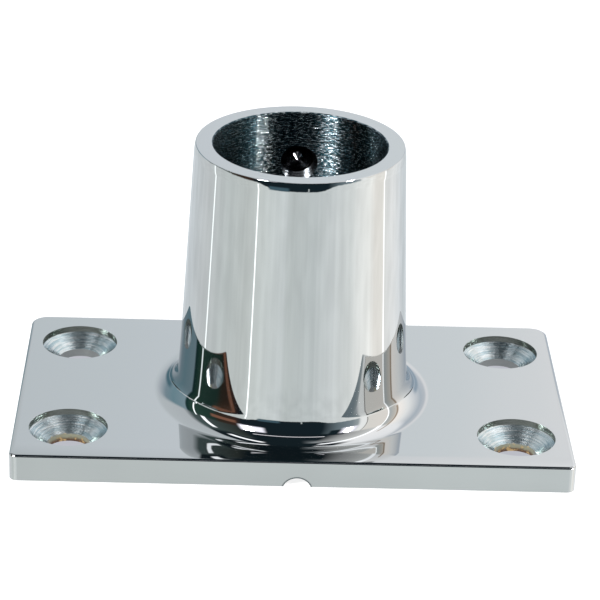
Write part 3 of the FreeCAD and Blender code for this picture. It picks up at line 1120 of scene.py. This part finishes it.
def rust_tint(g, z, blotches):
    """Brown at the bottom of the hole, olive above it, with a few golden blotches."""
    depth = g.minus(z, g.times(blotches, 1.1))
    brown, olive = colour((0.11, 0.06, 0.035)), colour((0.28, 0.28, 0.20))
    rust = g.mix(g.smooth(depth, -0.35, 0.35), brown, olive)
    return g.mix(g.smooth(blotches, 0.54, 0.64, 0.0, 0.8), rust, colour((0.58, 0.40, 0.18)))


def sunk_steel():
    """Machined countersinks with turning marks; rust has settled in the two front holes."""
    material, g, shader, place = steel("sunk_steel")
    shader.inputs["Anisotropic"].default_value = 0.6
    # The marks run round the hole, so light spreads up and down the wall
    g.plug(g.join(0.0, 0.0, 1.0), shader.inputs["Tangent"])
    x, y, z = g.split(place)
    reach, away_x, away_y = hole_place(g, x, y)
    hole_number = g.plus(g.math("SIGN", x), g.times(g.math("SIGN", y), 3.0))
    deep_in = g.plus(g.times(reach, 2.6), g.times(z, 2.6))
    marks = g.noise(g.join(deep_in, g.plus(away_x, hole_number), away_y), 1.0, 4.0, 0.7)
    chatter = g.join(g.times(away_x, 7.0), g.times(away_y, 7.0), g.plus(reach, hole_number))
    chatter = g.noise(chatter, 1.0, 2.0, 0.6)
    dents = g.noise(place, 0.8, 3.0, 0.6)
    height = g.plus(g.plus(marks, g.times(chatter, 0.22)), g.times(dents, 0.8))
    g.plug(g.bump(height, 1.0, 0.045 * MM), shader.inputs["Normal"])
    g.plug(g.smooth(dents, 0.35, 0.65, 0.15, 0.26), shader.inputs["Roughness"])
    # The straight land above the cone is darker, and the through hole below it is painted darker
    # as shade deep in the hole
    dull, pale = colour((0.34, 0.45, 0.49)), colour((0.65, 0.69, 0.70))
    wall = g.mix(g.smooth(marks, 0.35, 0.65), dull, pale)
    land = g.smooth(z, PLATE - SINK_LAND - 0.04, PLATE - SINK_LAND + 0.04)
    wall = g.mix(land, wall, colour((0.25, 0.27, 0.24)))
    # Painted shade: the through hole below the cone is darker
    deep = g.smooth(z, SINK_BOTTOM - 0.05, SINK_BOTTOM + 0.05, 1.0, 0.0)
    wall = g.mix(deep, wall, colour((0.38, 0.40, 0.38)))
    # Rust stands low in the front holes, on the side towards the back, with an uneven edge
    blotches = g.noise(place, 1.3, 3.0, 0.65)
    uneven = g.minus(z, g.times(blotches, 0.5))
    low = g.smooth(uneven, SINK_BOTTOM - 0.40, SINK_BOTTOM - 0.15, 1.0, 0.0)
    front = g.times(g.smooth(y, -13.6, -12.6), g.smooth(y, -1.0, 1.0, 1.0, 0.0))
    stained = g.times(low, front)
    g.plug(g.mix(stained, wall, rust_tint(g, z, blotches)), shader.inputs["Base Color"])
    # A dull film lies on the machined faces, and rust is duller still
    g.plug(g.minus(0.92, g.times(stained, 0.47)), shader.inputs["Metallic"])
    return material


def plain_steel(name, tint, roughness):
    material, g, shader, place = steel(name, tint, roughness)
    grain = g.noise(place, 3.0, 3.0)
    g.plug(g.bump(grain, 0.4, 0.02 * MM), shader.inputs["Normal"])
    return material


bpy.context.scene.view_settings.view_transform = "Standard"
set_up_camera()
set_up_world()
set_up_lamps()
set_up_floor()
set_up_shaded_ground()
set_up_painted_hole_shade()

flange = build_flange([
    polished_steel(),
    bored_steel(),
    sunk_steel(),
    # Painted shade: the tapped hole's steel is far darker than bare steel, which keeps the lamps'
    # glints in it small
    plain_steel("tapped_steel_painted_shade", (0.13, 0.14, 0.15), 0.2),
    plain_steel("underside_steel", (0.52, 0.53, 0.53), 0.3),
])
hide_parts("flange")
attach(flange, "base")

screw = build_set_screw(plain_steel("screw_steel", (0.22, 0.22, 0.23), 0.08))
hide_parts("set_screw")
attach(screw, "clamp_screw")
